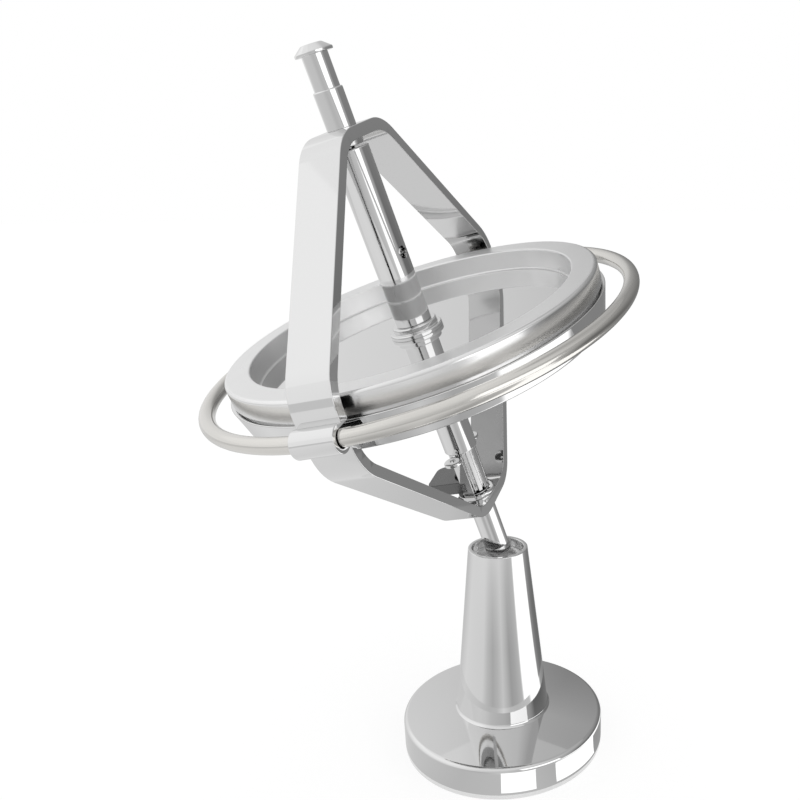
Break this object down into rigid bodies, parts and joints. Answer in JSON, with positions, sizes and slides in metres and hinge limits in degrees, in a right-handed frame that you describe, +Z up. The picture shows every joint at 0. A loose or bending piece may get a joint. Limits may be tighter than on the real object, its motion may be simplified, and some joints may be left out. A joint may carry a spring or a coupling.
{
  "type": "gyroscope on stand",
  "caption": "Desk gyroscope: a rimmed flywheel in a strip frame with a wire guard ring, leaning on a ball tip in the cup of a conical stand.",
  "frame": {"origin": "centre of the stand's flat underside", "axes": "+Z up along the stand; the gyroscope leans towards -X and a little towards -Y, and -Y faces the viewer"},
  "size_m": [0.0617, 0.0634, 0.1084],
  "materials": {
    "chrome": "polished",
    "plain_steel": "polished",
    "ring_wire": "satin"
  },
  "bodies": {
    "stand": {"stand_base": "chrome", "stand_pillar": "chrome", "stand_stud": "plain_steel"},
    "tip": {"tip_ball": "plain_steel"},
    "foot": {"foot_stub": "chrome"},
    "frame": {"frame_band": "chrome", "wire_ring": "ring_wire", "top_boss": "chrome", "top_pin": "chrome", "upper_bush": "plain_steel", "lower_bush": "plain_steel", "strip_guide": "chrome"},
    "rotor": {"rotor_disc": "chrome", "rotor_rim": "chrome", "rotor_axle": "plain_steel", "upper_sleeve": "chrome", "hub_collar": "chrome", "hub_nut": "plain_steel", "lower_sleeve": "chrome", "drive_pinion": "plain_steel"}
  },
  "joints": [
    {"name": "precession", "type": "hinge", "parent": "stand", "child": "tip", "pos_m": [0, 0, 0.0356], "axis": [0, 0, 1], "continuous": true},
    {"name": "lean", "type": "hinge", "parent": "tip", "child": "foot", "pos_m": [0, 0, 0.0356], "axis": [0.4961, -0.8683, 0], "range_deg": [-18.68, 39.32]},
    {"name": "frame_turn", "type": "hinge", "parent": "foot", "child": "frame", "pos_m": [0, 0, 0.0356], "axis": [-0.2781, -0.1589, 0.9473], "continuous": true},
    {"name": "rotor_spin", "type": "hinge", "parent": "frame", "child": "rotor", "pos_m": [-0.01052, -0.00601, 0.07144], "axis": [-0.2781, -0.1589, 0.9473], "continuous": true}
  ]
}
